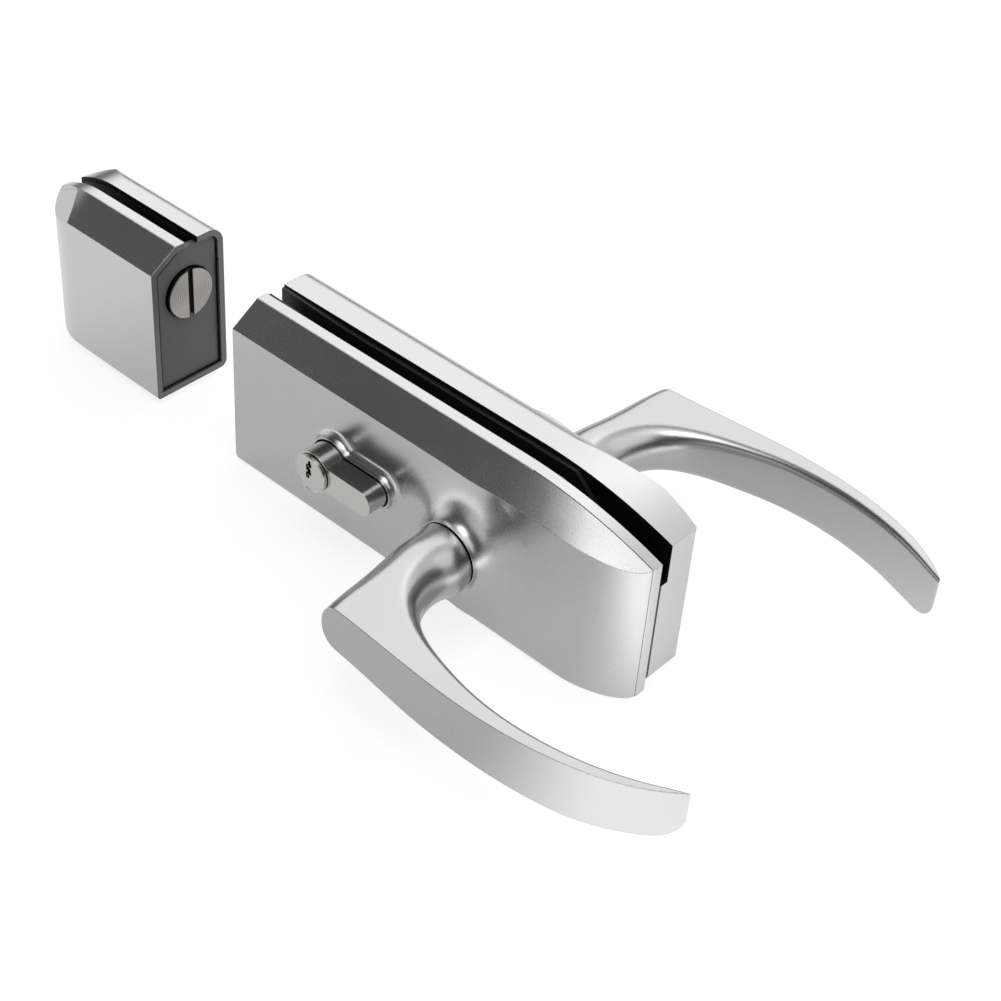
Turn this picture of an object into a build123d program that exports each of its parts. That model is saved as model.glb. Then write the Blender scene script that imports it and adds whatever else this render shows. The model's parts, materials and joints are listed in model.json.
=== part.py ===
from build123d import *
from math import asin, cos, degrees, pi, radians, sin, sqrt
import os

# A lever lock for a frameless glass door, with its keeper for the facing glass. Millimetres, +Z up.
# The origin is on the lock's glass seat, on the mid-plane of the glass, over the spindle.
# +X runs along the lock to the lever tips, -Y is the front, and the bolts come out towards -X.

# Lock body
SPINDLE_TO_LEFT = 109.2
SPINDLE_TO_TIP = 65.0
SPINDLE_TO_BACK_END = 62.3
THICKNESS = 39.2
SLOT = 8.0
TOP = 23.5
BASE = 39.5
LIP = 4.2
BEVEL_SLOPE = 0.632
END_SLOPE = 0.35
TOP_ARC_START = 8.8
TOP_ARC_RADIUS = 166.0
NOSE_LENGTH = 32.2
NOSE_FLAT = 2.6
BACK_CURVE_START = 30.0
BACK_CURVE_DROP = 3.6
CORNER = 3.0
FRONT_EDGE = 1.5
BACK_ROUND = 8.0
BACK_END_EDGE = 1.0
WALL = 2.4
AXIS_Z = -9.5
PARTING_WIDTH = 0.5
PARTING_DEPTH = 1.2

# Hub trumpets and bushes
HUB_LENGTH = 8.7
HUB_RADIUS = 11.9
HUB_FLARE = 17.5
BUSH_RADIUS = 10.0
BUSH_INSET = 0.5
JOURNAL = 8.0
RUNNING = 0.05

# Profile cylinder
CYL_X = -58.4
CYL_HEAD = 7.8
CYL_HEIGHT = 34.2
CYL_TAIL = 10.0
CYL_REACH = 30.6
CYL_GAP = 5.0
CORE_RADIUS = 6.0
CAP_RADIUS = 7.0
CAP_THICK = 1.1
CAP_GAP = 0.35
HOLE_CLEARANCE = 0.5
COLLAR_WALL = 0.6
COLLAR_HEIGHT = 3.0
COLLAR_VALLEY = 3.5
COLLAR_FOOT = 2.8
COLLAR_APRON = 12.0
CAM_RING = 6.9
CAM_REACH = 11.5
CAM_TIP = 2.6
CAM_ANGLE = 40.0
CAM_GAP = 0.3
KEYWAY_WIDTH = 1.6
KEYWAY_HEIGHT = 7.6
KEYWAY_DEPTH = 14.0
KEYWAY_WAVES = 4
KEYWAY_SWAY = 0.45
KEYWAY_X = -0.5
KEYWAY_Z = 1.6

# Levers
NECK_RADIUS = 11.5
NECK_GAP = 0.6
LEVER_TIP = 122.8
SPINDLE_SIDE = 8.0
SPINDLE_END = 46.0
SPINDLE_WAY = 6.2
SET_SCREW_Y = -36.0
SET_SCREW_LENGTH = 5.5

# Lock case and bolts
CASE_INSET = 5.2
CASE_PAST_TAIL = 5.0
CASE_FLOOR = 4.5
CASE_TOP = -3.5
CASE_BACK = 12.0
SHEET = 1.5
LID_RIM = 2.0
LATCH_LENGTH = 30.2
LATCH_THROW = 8.0
LATCH_DROP = 2.0
LATCH_HEIGHT = 10.5
LATCH_HALF = 6.0
LATCH_FACE = 2.0
LATCH_SLANT = 8.5
BOLT_DROP = 9.0
BOLT_RISE = 1.0
BOLT_LENGTH = 64.7
BOLT_HALF = 6.0
BOLT_NOTCH_GAP = 1.6
GUIDE_GAP = 0.15
TAB_START = 22.0
TAB_LENGTH = 6.0
TAB_DEPTH = 4.0
TAB_DROP = 3.0
TAB_HEIGHT = 4.5

# Follower, link and return spring
LEVER_ANGLE = 40.0
ARM_REACH = 14.5
ARM_TIP = 3.0
ARM_HALF = 1.8
NOTCH_GAP = 0.7
JAW_HALF = 8.0
JAW_HEIGHT = 10.0
BAR_RISE = 11.2
BAR_HEIGHT = 6.0
BAR_THICK = 3.4
BAR_CLEARANCE = 0.8
CROWN = 3.0
FOLLOWER_RADIUS = 7.5
FOLLOWER_GAP = 0.4
SPRING_WIRE = 0.7
SPRING_LEG = 8.5
SPRING_GAP = 0.3
SPRING_POST = 1.5
SPRING_POST_X = -3.0
SPRING_POST_RISE = 12.0
SPRING_POST_LENGTH = 2.6

# Keeper
KEEPER_GAP = 42.0
KEEPER_LENGTH = 65.3
KEEPER_NOSE = 20.0
KEEPER_ARC_RADIUS = 39.0
KEEPER_CORNER = 10.0
KEEPER_BASE = 37.5
KEEPER_BACK = 13.4
KEEPER_BACK_ROUND = 6.5
KEEPER_SLOT_BACK = 1.6
KEEPER_RISE = 2.0
KEEPER_GASKET = 0.3
FACET_START = 13.4
FACET_TURN = 29.0
FACET_TILT = 45.0
FACET_SIZE = 80.0
KEEPER_HOLLOW_LEFT = 7.0
KEEPER_FACE_WALL = 4.4
END_RECESS = 1.2
END_PLATE = 2.4
END_GROOVE = 0.6
DISC_RADIUS = 9.7
DISC_GAP = 0.6
DISC_SEAT = 1.0
DISC_PROUD = 1.9
DISC_Y = -2.7
DISC_Z = 2.0
DISC_SLOT = 2.3
DISC_SLOT_DEPTH = 1.2
DISC_SHANK = 4.0

# Gaskets, screws
GASKET = 1.5
GASKET_LOW = 3.0
GASKET_MARGIN = 1.9
GASKET_EDGE = 0.5
GASKET_DIP = 32.0
GASKET_END = 24.0
GASKET_SLANT = 19.5
SCREW = 2.5
SCREW_HEAD = 4.4
SCREW_HEAD_HEIGHT = 3.0
SCREW_END = 15.5
SCREW_DEPTH = 16.5
KEEPER_SCREW_SHORTER = 6.0
FIX_DEPTH = 3.5
GRUB = 2.0
LUG = 3.5
LUG_HEIGHT = 7.0
COVER_SCREW_DEPTH = 4.0
COVER_SCREW_INSET = 8.0
NOSE_POCKET_LENGTH = 20.0
NOSE_POCKET_DEPTH = 4.4
NOSE_POCKET_TOP = 6.5

HALF = THICKNESS / 2
SLOT_HALF = SLOT / 2
LIP_Y = SLOT_HALF + LIP
LEFT = -SPINDLE_TO_LEFT
TIP = SPINDLE_TO_TIP
NOSE_START = TIP - NOSE_LENGTH
BEVEL_FOOT = TOP - BEVEL_SLOPE * (HALF - LIP_Y)
HOLLOW_TOP = BEVEL_FOOT - WALL
KEEPER_RIGHT = LEFT - KEEPER_GAP
KEEPER_LEFT = KEEPER_RIGHT - KEEPER_LENGTH
KEEPER_CURVE = KEEPER_LEFT + KEEPER_NOSE
PLATE_BACK = KEEPER_RIGHT - END_RECESS - END_PLATE
CASE_FRONT = -LIP_Y
TAIL_CENTRE = CYL_HEIGHT - CYL_HEAD - CYL_TAIL / 2
FIX_X = CYL_X + TAIL_CENTRE
CASE_LEFT = LEFT + CASE_INSET
CASE_RIGHT = FIX_X + CYL_TAIL / 2 + CASE_PAST_TAIL
CASE_BOTTOM = -BASE + CASE_FLOOR
LID_FRONT = CASE_FRONT - SHEET
LATCH_TIP = LEFT - LATCH_THROW
LATCH_TOP = CASE_TOP - LATCH_DROP
BOLT_TOP = AXIS_Z - BOLT_DROP
BOLT_BOTTOM = CASE_BOTTOM + SHEET + BOLT_RISE
TAB_HIGH = LATCH_TOP - TAB_DROP
TAB_LOW = TAB_HIGH - TAB_HEIGHT
SPRING_POST_Z = AXIS_Z + SPRING_POST_RISE
TAB_LEFT = LATCH_TIP + TAB_START
TAB_RIGHT = TAB_LEFT + TAB_LENGTH
TRAVEL = ARM_REACH * sin(radians(LEVER_ANGLE))
BAR_LOW = AXIS_Z + BAR_RISE
BAR_TOP = BAR_LOW + BAR_HEIGHT
BAR_FRONT = -HALF + WALL + BAR_CLEARANCE
BAR_BACK = BAR_FRONT + BAR_THICK
NECK_Y = -HALF - HUB_LENGTH - NECK_GAP
COVER_SCREW_X = (LEFT + COVER_SCREW_INSET, NOSE_START - COVER_SCREW_INSET)
COVER_SCREW_Y = -LIP_Y - COVER_SCREW_DEPTH
LUG_TOP = -BASE + WALL + LUG_HEIGHT
SPRING_Y = BAR_BACK + 1.6
FOLLOWER_BACK = -LIP_Y - FOLLOWER_GAP
PLATE_SCREWS = [(-18.0, -BASE + 8.0), (20.0, -BASE + 14.0), (46.0, -BASE + 20.0)]
CASE_SCREWS = [(CYL_X - 14.1, CASE_TOP - 6.5), (CASE_RIGHT - 4.2, CASE_BOTTOM + 6.5)]
KEEPER_SCREWS = [(KEEPER_RIGHT - 16.0, -KEEPER_BASE + 17.0), (KEEPER_CURVE - 1.0, -KEEPER_BASE + 17.0)]
CUT = 10.0


def block(x0, x1, y0, y1, z0, z1):
    """A box between two corners."""
    return Pos((x0 + x1) / 2, (y0 + y1) / 2, (z0 + z1) / 2) * Box(x1 - x0, y1 - y0, z1 - z0)


def rod_x(y, z, radius, x0, x1):
    """A cylinder along X."""
    return Pos((x0 + x1) / 2, y, z) * Rot(0, 90, 0) * Cylinder(radius, x1 - x0)


def rod_y(x, z, radius, y0, y1):
    """A cylinder along Y."""
    return Pos(x, (y0 + y1) / 2, z) * Rot(90, 0, 0) * Cylinder(radius, y1 - y0)


def rod_z(x, y, radius, z0, z1):
    """A cylinder along Z."""
    return Pos(x, y, (z0 + z1) / 2) * Cylinder(radius, z1 - z0)


def square_y(side, y0, y1):
    """A square bar along the spindle axis."""
    return block(-side / 2, side / 2, y0, y1, AXIS_Z - side / 2, AXIS_Z + side / 2)


def across(face, y0, y1):
    """A face drawn in X and Z, made solid from y0 to y1."""
    plane = Plane(origin=(0, y1, 0), x_dir=(1, 0, 0), z_dir=(0, -1, 0))
    return extrude(plane * face, y1 - y0, dir=(0, -1, 0))


def along(face, x0, x1):
    """A face drawn in Y and Z, made solid from x0 to x1."""
    plane = Plane(origin=(x0, 0, 0), x_dir=(0, 1, 0), z_dir=(1, 0, 0))
    return extrude(plane * face, x1 - x0, dir=(1, 0, 0))


def upright(face):
    """A face drawn in plan, made solid past the full height."""
    return extrude(Pos(0, 0, -BASE - CUT) * face, TOP + BASE + 2 * CUT, dir=(0, 0, 1))


def mirrored(part):
    """The same part on the other side of the glass."""
    return mirror(part, about=Plane.XZ)


# Outlines of the lock


def lock_side():
    """Side outline: flat top, then a long arc that falls to the nose."""
    end_x = TIP + CUT
    sweep = degrees(asin((end_x - TOP_ARC_START) / TOP_ARC_RADIUS))
    arc = CenterArc((TOP_ARC_START, TOP - TOP_ARC_RADIUS), TOP_ARC_RADIUS, 90, -sweep)
    corners = Polyline(arc @ 1, (end_x, -BASE), (LEFT, -BASE), (LEFT, TOP), arc @ 0)
    face = make_face(corners + arc)
    low_left = face.vertices().sort_by(Axis.X)[:2].sort_by(Axis.Y)[0]
    return fillet(low_left, CORNER)


def lock_front_plan():
    """Plan of the front half: straight face, a quarter ellipse, then a short flat up to the slot."""
    centre_y = -SLOT_HALF - NOSE_FLAT
    nose = EllipticalCenterArc((NOSE_START, centre_y), NOSE_LENGTH, HALF + centre_y, 270, arc_size=90)
    sides = Polyline(nose @ 1, (TIP, -SLOT_HALF), (LEFT, -SLOT_HALF), (LEFT, -HALF), nose @ 0)
    return make_face(sides + nose)


def lock_back_plan():
    """Plan of the back half: straight back, then a long arc inwards to a square end."""
    run = SPINDLE_TO_BACK_END - BACK_CURVE_START
    radius = (run ** 2 + BACK_CURVE_DROP ** 2) / (2 * BACK_CURVE_DROP)
    curve = CenterArc((BACK_CURVE_START, HALF - radius), radius, 90, -degrees(asin(run / radius)))
    sides = Polyline(curve @ 1, (SPINDLE_TO_BACK_END, -SLOT_HALF), (LEFT, -SLOT_HALF), (LEFT, HALF), curve @ 0)
    face = make_face(sides + curve)
    return fillet(face.vertices().sort_by(Axis.X)[-2:].sort_by(Axis.Y)[-1], BACK_END_EDGE)


def cross_section(base, back, back_round):
    """Section across either body, with a rounded edge at the top of the back."""
    corners = [(-HALF, -base), (back, -base), (back, TOP), (-HALF, TOP)]
    radii = [FRONT_EDGE, CORNER, back_round, FRONT_EDGE]
    return make_face(FilletPolyline(*corners, radius=radii, close=True))


def outer_form(plan, section, side, x0, x1):
    """What a plan, a cross-section and a side outline have in common."""
    return upright(plan) & along(section, x0, x1) & across(side, -HALF - CUT, HALF + CUT)


def lock_lip(x):
    """Height of the lock's lip at x."""
    run = max(0.0, x - TOP_ARC_START)
    return TOP - TOP_ARC_RADIUS + sqrt(TOP_ARC_RADIUS ** 2 - run ** 2)


def keeper_lip(x):
    """Height of the keeper's lip at x."""
    run = max(0.0, KEEPER_CURVE - x)
    return TOP - KEEPER_ARC_RADIUS + sqrt(KEEPER_ARC_RADIUS ** 2 - run ** 2)


def keeper_facet():
    """What a flat facet takes off the front corner of the keeper's nose."""
    turn = radians(FACET_TURN)
    tilt = radians(FACET_TILT)
    normal = (-sin(turn) * cos(tilt), -cos(turn) * cos(tilt), sin(tilt))
    plane = Plane(origin=(KEEPER_LEFT + FACET_START, -LIP_Y, TOP), z_dir=normal)
    return extrude(plane * Rectangle(FACET_SIZE, FACET_SIZE), FACET_SIZE, dir=normal)


def bevel_section(x, lip, slope, past):
    """What the bevel takes off at x: all above a line that falls outwards from near the lip."""
    near = -LIP_Y + past
    far = -LIP_Y - HALF - HUB_LENGTH
    points = [(near, lip + slope * past), (far, lip + slope * (far + LIP_Y)), (far, TOP + CUT), (near, TOP + CUT)]
    plane = Plane(origin=(x, 0, 0), x_dir=(0, 1, 0), z_dir=(1, 0, 0))
    return plane * make_face(Polyline(*points, close=True))


def bevel(x_flat, x_start, x_end, lip_height, end_slope, past=0.0):
    """The bevel: even from x_flat to x_start, then it follows the lip and ends at another slope."""
    steps = 7
    sections = []
    for i in range(steps + 1):
        x = x_start + (x_end - x_start) * i / steps
        fade = min(1.0, i / (steps - 1))
        slope = end_slope + (BEVEL_SLOPE - end_slope) * (1 + cos(pi * fade)) / 2
        sections.append(bevel_section(x, lip_height(x), slope, past))
    straight = bevel_section(min(x_flat, x_start), lip_height(x_start), BEVEL_SLOPE, past)
    return extrude(straight, abs(x_start - x_flat), dir=(1, 0, 0)) + loft(sections)


# Features that the front and the back of the lock share


def hub_trumpet():
    """The hollow-curved hub that swells out of the front face round the lever's neck."""
    sink = 0.04
    mouth_y = HALF + HUB_LENGTH
    curve = EllipticalCenterArc((HUB_RADIUS + HUB_FLARE, mouth_y), HUB_FLARE, HUB_LENGTH + sink, 180, arc_size=90)
    base_y = HALF - WALL / 2
    rim = curve @ 1
    sides = Polyline(rim, (rim.X, base_y), (0, base_y), (0, mouth_y), curve @ 0)
    solid = revolve(make_face(curve + sides), Axis.Y)
    return Pos(0, 0, AXIS_Z) * Rot(180, 0, 0) * solid


def profile_face(grow):
    """Profile cylinder section with its tail along +X, grown by a clearance."""
    head = Pos(CYL_X, AXIS_Z) * Circle(CYL_HEAD + grow)
    bar = Pos(CYL_X + TAIL_CENTRE / 2, AXIS_Z) * Rectangle(TAIL_CENTRE, CYL_TAIL + 2 * grow)
    end = Pos(FIX_X, AXIS_Z) * Circle(CYL_TAIL / 2 + grow)
    return head + bar + end


def collar():
    """Thin raised rim round the cylinder, with a hollow foot that runs into the front face."""
    sink = 0.02
    outline = profile_face(HOLE_CLEARANCE + COLLAR_WALL)
    outline = fillet(outline.vertices().sort_by(Axis.X)[:2], COLLAR_VALLEY)
    rim = across(outline, -HALF - COLLAR_HEIGHT, -HALF + WALL / 2)
    left, right = CYL_X - CYL_HEAD - COLLAR_APRON, FIX_X + CYL_TAIL / 2 + COLLAR_APRON
    low, high = AXIS_Z - CYL_HEAD - COLLAR_APRON, AXIS_Z + CYL_HEAD + COLLAR_APRON
    apron = block(left, right, -HALF + sink, -HALF + WALL / 2, low, high)
    body = rim + apron
    foot = []
    for edge in body.edges():
        box = edge.bounding_box()
        flat = abs(box.min.Y - box.max.Y) < sink / 2 and abs(box.min.Y + HALF - sink) < sink / 2
        inside = box.min.X > left + 1 and box.max.X < right - 1
        if flat and inside and box.min.Z > low + 1 and box.max.Z < high - 1:
            foot.append(edge)
    return fillet(foot, COLLAR_FOOT)


def cover_screw_holes(radius):
    """Two upright holes in the cover's base."""
    return [rod_z(x, COVER_SCREW_Y, radius, -BASE - 1, LUG_TOP + 1) for x in COVER_SCREW_X]


def cylinder_screw_hole():
    """Upright hole for the screw that holds the cylinder, through the base and the case."""
    shank = rod_z(FIX_X, 0, SCREW + 0.3, -BASE - 1, AXIS_Z)
    return shank + rod_z(FIX_X, 0, SCREW_HEAD + 0.2, -BASE - 1, -BASE + SCREW_HEAD_HEIGHT)


def bolt_way(x0, x1):
    """The ways that the latch and the dead bolt slide through."""
    half = max(LATCH_HALF, BOLT_HALF) + GUIDE_GAP
    latch = block(x0, x1, -half, half, LATCH_TOP - LATCH_HEIGHT - GUIDE_GAP, LATCH_TOP + GUIDE_GAP)
    bolt = block(x0, x1, -half, half, BOLT_BOTTOM - GUIDE_GAP, BOLT_TOP + GUIDE_GAP)
    return [latch, bolt]


def case_room(y0, y1):
    """The room that the lock case takes up, with a little play."""
    gap = GUIDE_GAP
    return block(CASE_LEFT - gap, CASE_RIGHT + gap, y0, y1, CASE_BOTTOM - gap, CASE_TOP + gap)


# Lock body


def lock_front_half():
    """The whole front half before it is split into cover and clamp plate."""
    section = cross_section(BASE, HALF, BACK_ROUND)
    body = outer_form(lock_front_plan(), section, lock_side(), LEFT - CUT, TIP + CUT)
    body = body + hub_trumpet() + collar()
    return body - bevel(LEFT - CUT, TOP_ARC_START - CUT, TIP + CUT, lock_lip, END_SLOPE)


def lock_front_cover():
    """Front cover: a shell with the hub, the collar and their holes."""
    front = -HALF - HUB_LENGTH - CUT
    body = lock_front_half() & block(LEFT - CUT, TIP + CUT, front, -LIP_Y, -BASE - CUT, TOP + CUT)
    hollow = block(LEFT + WALL, NOSE_START, -HALF + WALL, -LIP_Y, -BASE + WALL, HOLLOW_TOP)
    pocket_end = NOSE_START + NOSE_POCKET_LENGTH
    pocket_front = -LIP_Y - NOSE_POCKET_DEPTH
    pocket = block(NOSE_START - 1, pocket_end, pocket_front, -LIP_Y, -BASE + WALL, NOSE_POCKET_TOP)
    body = body - hollow - pocket
    body = body - rod_y(0, AXIS_Z, BUSH_RADIUS, -HALF - HUB_LENGTH - 1, -HALF + WALL + 1)
    body = body - across(profile_face(HOLE_CLEARANCE), -HALF - COLLAR_HEIGHT - 1, -HALF + WALL + 1)
    return body - cover_screw_holes(GRUB + RUNNING)


def lock_front_plate():
    """Clamp plate: the front jaw on the glass, with a window for the lock case."""
    body = lock_front_half() & block(LEFT - CUT, TIP + CUT, -LIP_Y, -SLOT_HALF, -BASE - CUT, TOP + CUT)
    body = body - case_room(-LIP_Y - 1, 0) - bolt_way(LEFT - 1, CASE_LEFT + 1)
    body = body - across(profile_face(HOLE_CLEARANCE), -LIP_Y - 1, 0)
    body = body - rod_y(0, AXIS_Z, BUSH_RADIUS, -LIP_Y - 1, 0)
    body = body - cylinder_screw_hole()
    lug_front = COVER_SCREW_Y - LUG
    for x in COVER_SCREW_X:
        body = body + block(x - LUG, x + LUG, lug_front, -LIP_Y, -BASE + WALL + RUNNING, LUG_TOP)
        body = body - rod_z(x, COVER_SCREW_Y, GRUB, -BASE, LUG_TOP - 1)
    body = body + rod_y(SPRING_POST_X, SPRING_POST_Z, SPRING_POST, -LIP_Y - SPRING_POST_LENGTH, -LIP_Y)
    for x, z in PLATE_SCREWS:
        body = body - rod_y(x, z, SCREW, -LIP_Y - 1, 0)
    return body


def lock_back_body():
    """Back half: outer shell, rear jaw, glass seat and the pocket for the lock case."""
    end = SPINDLE_TO_BACK_END + CUT
    section = cross_section(BASE, HALF, BACK_ROUND)
    body = outer_form(lock_back_plan(), section, lock_side(), LEFT - CUT, end)
    body = body + mirrored(hub_trumpet()) + mirrored(collar())
    body = body - block(LEFT - 1, end, -SLOT_HALF - 1, SLOT_HALF, 0, TOP + 1)
    body = body - case_room(-SLOT_HALF - 1, CASE_BACK) - bolt_way(LEFT - 1, CASE_LEFT + 1)
    body = body - across(profile_face(HOLE_CLEARANCE), -SLOT_HALF - 1, HALF + COLLAR_HEIGHT + 1)
    body = body - rod_y(0, AXIS_Z, BUSH_RADIUS, HALF - WALL, HALF + HUB_LENGTH + 1)
    body = body - rod_y(0, AXIS_Z, JOURNAL + 0.5, HALF - WALL - 1, HALF)
    body = body - rod_y(0, AXIS_Z, SPINDLE_WAY, -SLOT_HALF - 1, HALF)
    for x, z in PLATE_SCREWS + CASE_SCREWS:
        body = body - rod_y(x, z, SCREW, -SLOT_HALF - 1, SCREW_DEPTH)
    groove_x = SPINDLE_TO_BACK_END - PARTING_DEPTH
    body = body - block(groove_x, end, -SLOT_HALF, -SLOT_HALF + PARTING_WIDTH, -BASE - 1, 0)
    return body - cylinder_screw_hole()


# Screws


def screw_y(x, z, y_head, y_end):
    """A cap screw along Y, its head towards the front, with a hexagon socket."""
    head = rod_y(x, z, SCREW_HEAD, y_head, y_head + SCREW_HEAD_HEIGHT)
    shank = rod_y(x, z, SCREW, y_head + SCREW_HEAD_HEIGHT, y_end)
    socket = across(Pos(x, z) * RegularPolygon(SCREW, 6), y_head - 1, y_head + SCREW_HEAD_HEIGHT / 2)
    return head + shank - socket


def cover_screws():
    """Grub screws that hold the cover to the lugs of the clamp plate."""
    return [rod_z(x, COVER_SCREW_Y, GRUB, -BASE + 0.4, LUG_TOP - 1) for x in COVER_SCREW_X]


def plate_screws():
    """Screws that clamp the front plate to the back body."""
    return [screw_y(x, z, -LIP_Y - SCREW_HEAD_HEIGHT, SCREW_END) for x, z in PLATE_SCREWS]


def case_screws():
    """Screws that hold the lid and the case in the back body."""
    return [screw_y(x, z, LID_FRONT - SCREW_HEAD_HEIGHT, SCREW_END) for x, z in CASE_SCREWS]


def cylinder_screw():
    """The long screw from the base into the cylinder's tail."""
    head = rod_z(FIX_X, 0, SCREW_HEAD, -BASE + 0.2, -BASE + SCREW_HEAD_HEIGHT)
    shank = rod_z(FIX_X, 0, SCREW, -BASE + SCREW_HEAD_HEIGHT, AXIS_Z + FIX_DEPTH)
    socket = Pos(FIX_X, 0, -BASE) * extrude(RegularPolygon(SCREW, 6), SCREW_HEAD_HEIGHT / 2)
    return head + shank - socket


# Lock case


def lock_case():
    """Folded tray that carries the bolts, open to the front."""
    tray = block(CASE_LEFT, CASE_RIGHT, CASE_FRONT, CASE_BACK, CASE_BOTTOM, CASE_TOP)
    left, right = CASE_LEFT + SHEET, CASE_RIGHT - SHEET
    low, high = CASE_BOTTOM + SHEET, CASE_TOP - SHEET
    tray = tray - block(left, right, CASE_FRONT - 1, CASE_BACK - SHEET, low, high)
    tray = tray - bolt_way(CASE_LEFT - 1, left + 1)
    tray = tray - across(profile_face(HOLE_CLEARANCE / 2), CASE_FRONT, CASE_BACK + 1)
    for x, z in CASE_SCREWS:
        tray = tray + rod_y(x, z, SCREW + SHEET, CASE_FRONT, CASE_BACK)
        tray = tray - rod_y(x, z, SCREW, CASE_FRONT - 1, CASE_BACK + 1)
    return tray - cylinder_screw_hole()


def case_lid():
    """Flat lid over the case, with a long window for the latch link."""
    front, back = LID_FRONT - 1, CASE_FRONT + 1
    low, high = CASE_BOTTOM - LID_RIM / 2, CASE_TOP + LID_RIM
    lid = block(CASE_LEFT - LID_RIM, CASE_RIGHT + LID_RIM, LID_FRONT, CASE_FRONT, low, high)
    lid = lid - across(profile_face(HOLE_CLEARANCE / 2), front, back)
    for x in COVER_SCREW_X:
        lid = lid - block(x - LUG - 0.3, x + LUG + 0.3, front, back, -BASE, LUG_TOP + 0.3)
    lid = lid - block(TAB_LEFT - 1, TAB_RIGHT + TRAVEL + 1, front, back, TAB_LOW - 1, TAB_HIGH + 1)
    for x, z in CASE_SCREWS:
        lid = lid - rod_y(x, z, SCREW, front, back)
    return lid


# Latch and dead bolt


def latch_bolt():
    """Latch head with a slanted nose, and the pocket for its link."""
    low = LATCH_TOP - LATCH_HEIGHT
    body = block(LATCH_TIP, LATCH_TIP + LATCH_LENGTH, -LATCH_HALF, LATCH_HALF, low, LATCH_TOP)
    face_y = -LATCH_HALF + LATCH_FACE
    back_y = LATCH_HALF + 1
    slant = [(LATCH_TIP - 1, back_y), (LATCH_TIP - 1, face_y), (LATCH_TIP, face_y), (LATCH_TIP + LATCH_SLANT, back_y)]
    nose = extrude(Pos(0, 0, low - 1) * make_face(Polyline(*slant, close=True)), LATCH_HEIGHT + 2)
    pocket = block(TAB_LEFT, TAB_RIGHT, -LATCH_HALF - 1, -LATCH_HALF + TAB_DEPTH, TAB_LOW, TAB_HIGH)
    return body - nose - pocket


def latch_link():
    """Flat bar that joins the latch to the drive arm, passing over the cylinder."""
    notch_half = ARM_TIP + NOTCH_GAP
    notch_top = AXIS_Z + ARM_REACH + ARM_TIP + NOTCH_GAP
    jaw_low = AXIS_Z + JAW_HEIGHT
    bar = block(TAB_LEFT, JAW_HALF, BAR_FRONT, BAR_BACK, BAR_LOW, BAR_TOP)
    leg = block(TAB_LEFT, TAB_RIGHT, BAR_FRONT, BAR_BACK, TAB_LOW, BAR_LOW)
    tab = block(TAB_LEFT, TAB_RIGHT, BAR_BACK, -LATCH_HALF + TAB_DEPTH, TAB_LOW, TAB_HIGH)
    jaw = block(-JAW_HALF, JAW_HALF, BAR_FRONT, BAR_BACK, jaw_low, BAR_LOW)
    crown = block(-JAW_HALF, JAW_HALF, BAR_FRONT, BAR_BACK, BAR_TOP, notch_top + CROWN)
    notch = block(-notch_half, notch_half, BAR_FRONT - 1, BAR_BACK + 1, jaw_low - 1, notch_top)
    return bar + leg + tab + jaw + crown - notch


def dead_bolt():
    """Square bolt with a notch for the cylinder's cam."""
    body = block(LEFT, LEFT + BOLT_LENGTH, -BOLT_HALF, BOLT_HALF, BOLT_BOTTOM, BOLT_TOP)
    tip_x = CYL_X + CAM_REACH * sin(radians(CAM_ANGLE))
    half = CAM_TIP + BOLT_NOTCH_GAP
    floor = AXIS_Z - CAM_REACH - CAM_TIP - BOLT_NOTCH_GAP / 2
    return body - block(tip_x - half, tip_x + half, -BOLT_HALF - 1, BOLT_HALF + 1, floor, BOLT_TOP + 1)


# Cylinder


def cylinder_body():
    """Double profile cylinder body, cut away in the middle for the cam."""
    body = across(profile_face(0), -CYL_REACH, CYL_REACH)
    swing = CAM_REACH + CAM_TIP + 1.0
    body = body - rod_y(CYL_X, AXIS_Z, swing, -CYL_GAP, CYL_GAP)
    body = body - rod_y(CYL_X, AXIS_Z, CORE_RADIUS, -CYL_REACH - 1, CYL_REACH + 1)
    return body - rod_z(FIX_X, 0, SCREW, AXIS_Z - CYL_TAIL, AXIS_Z + FIX_DEPTH)


def plug():
    """Front key plug: a core, its cap a little way off the cylinder, and a wavy keyway."""
    cap_back = -CYL_REACH - CAP_GAP
    front = cap_back - CAP_THICK
    body = rod_y(CYL_X, AXIS_Z, CORE_RADIUS - RUNNING, cap_back, -CYL_GAP + CAM_GAP)
    body = body + rod_y(CYL_X, AXIS_Z, CAP_RADIUS, front, cap_back)
    overlap = 0.8 * KEYWAY_WIDTH
    step = (KEYWAY_HEIGHT - overlap) / KEYWAY_WAVES
    for i in range(KEYWAY_WAVES):
        z = AXIS_Z + KEYWAY_Z + (i - (KEYWAY_WAVES - 1) / 2) * step
        sway = KEYWAY_SWAY if i % 2 else -KEYWAY_SWAY
        place = Pos(CYL_X + KEYWAY_X + sway, z)
        wave = place * SlotOverall(step + overlap, KEYWAY_WIDTH, rotation=90)
        body = body - across(wave, front - 1, front + KEYWAY_DEPTH)
    return body


def cylinder_cam():
    """Cam between the plugs: a ring with one lobe, resting down and to the right."""
    half = CYL_GAP - CAM_GAP
    angle = radians(CAM_ANGLE)
    tip_x = CYL_X + CAM_REACH * sin(angle)
    tip_z = AXIS_Z - CAM_REACH * cos(angle)
    ring = Pos(CYL_X, AXIS_Z) * Circle(CAM_RING)
    tip = Pos(tip_x, tip_z) * Circle(CAM_TIP)
    middle = Pos((CYL_X + tip_x) / 2, (AXIS_Z + tip_z) / 2)
    web = middle * Rot(0, 0, CAM_ANGLE - 90) * Rectangle(CAM_REACH, 2 * CAM_TIP)
    return across(ring + tip + web, -half, half)


# Spindle, follower, return spring and bushes


def spindle():
    """Square spindle through both levers and the follower."""
    return square_y(SPINDLE_SIDE, -SPINDLE_END, SPINDLE_END)


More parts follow.
